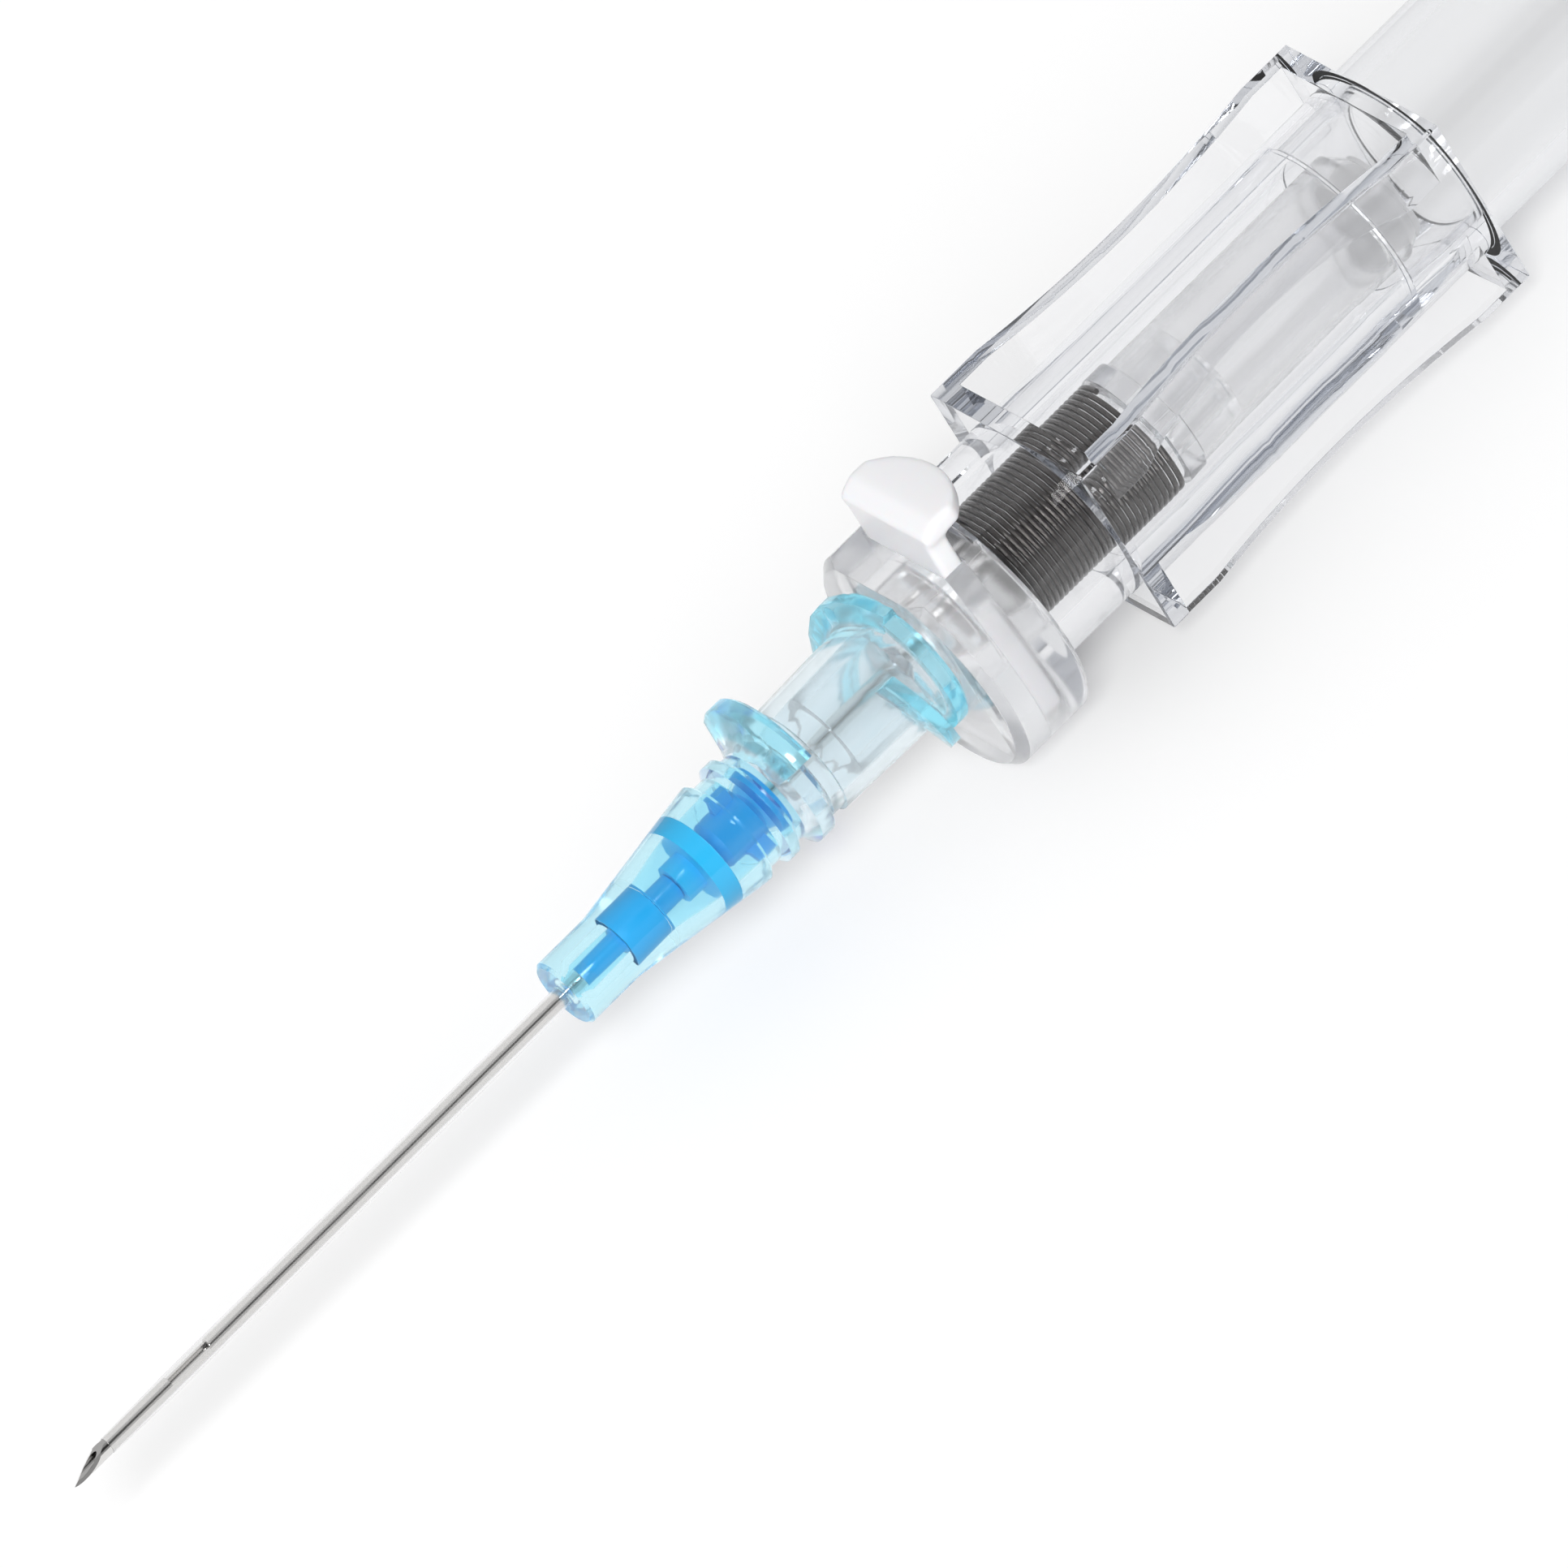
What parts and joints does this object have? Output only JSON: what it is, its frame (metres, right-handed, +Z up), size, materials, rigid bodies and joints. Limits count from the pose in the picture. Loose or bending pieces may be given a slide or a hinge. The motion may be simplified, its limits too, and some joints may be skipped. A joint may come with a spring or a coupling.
{
  "type": "iv cannula",
  "caption": "Shielded intravenous catheter: bevelled needle in a blue luer hub, white release button, clear grip with a spring, and a barrel that takes the needle back.",
  "frame": {"origin": "on the surface that the object lies on, under the middle of its length and width", "axes": "+X along the needle's axis towards the tail, +Z up through the button and the bevel, +Y to the side"},
  "size_m": [0.1259, 0.0112, 0.0126],
  "materials": {
    "needle_steel": "bright drawn steel",
    "tube_plastic": "smooth, slightly cloudy",
    "ferrule_blue": "smooth moulded",
    "hub_blue": "translucent moulded",
    "septum_blue": "soft, satin",
    "actuator_blue": "smooth moulded",
    "carrier_clear": "clear moulded",
    "glue_clear": "clear, glossy",
    "chamber_clear": "clear, slightly frosted",
    "vent_white": "porous, matt",
    "spring_steel": "drawn wire",
    "grip_clear": "clear moulded",
    "button_white": "smooth moulded, soft gloss",
    "barrel_clear": "clear moulded",
    "cap_clear": "clear moulded"
  },
  "bodies": {
    "housing": {"grip": "grip_clear", "barrel": "barrel_clear", "end_cap": "cap_clear", "spring": "spring_steel"},
    "catheter": {"catheter_hub": "hub_blue", "catheter_tube": "tube_plastic", "tube_ferrule": "ferrule_blue", "valve_septum": "septum_blue"},
    "valve": {"valve_actuator": "actuator_blue"},
    "button": {"button": "button_white"},
    "needle_carrier": {"needle": "needle_steel", "needle_hub": "carrier_clear", "needle_glue": "glue_clear", "flash_chamber": "chamber_clear", "vent_plug": "vent_white"}
  },
  "joints": [
    {"name": "catheter_slide", "type": "slide", "parent": "housing", "child": "catheter", "axis": [-1, 0, 0], "range_m": [0, 0.05]},
    {"name": "valve_push", "type": "slide", "parent": "catheter", "child": "valve", "axis": [-1, 0, 0], "range_m": [0, 0.0012], "deforming": ["valve_septum"]},
    {"name": "button_press", "type": "slide", "parent": "housing", "child": "button", "axis": [0, 0, -1], "range_m": [0, 0.0009]},
    {"name": "needle_retraction", "type": "slide", "parent": "housing", "child": "needle_carrier", "axis": [1, 0, 0], "range_m": [0, 0.05], "deforming": ["spring"]}
  ]
}
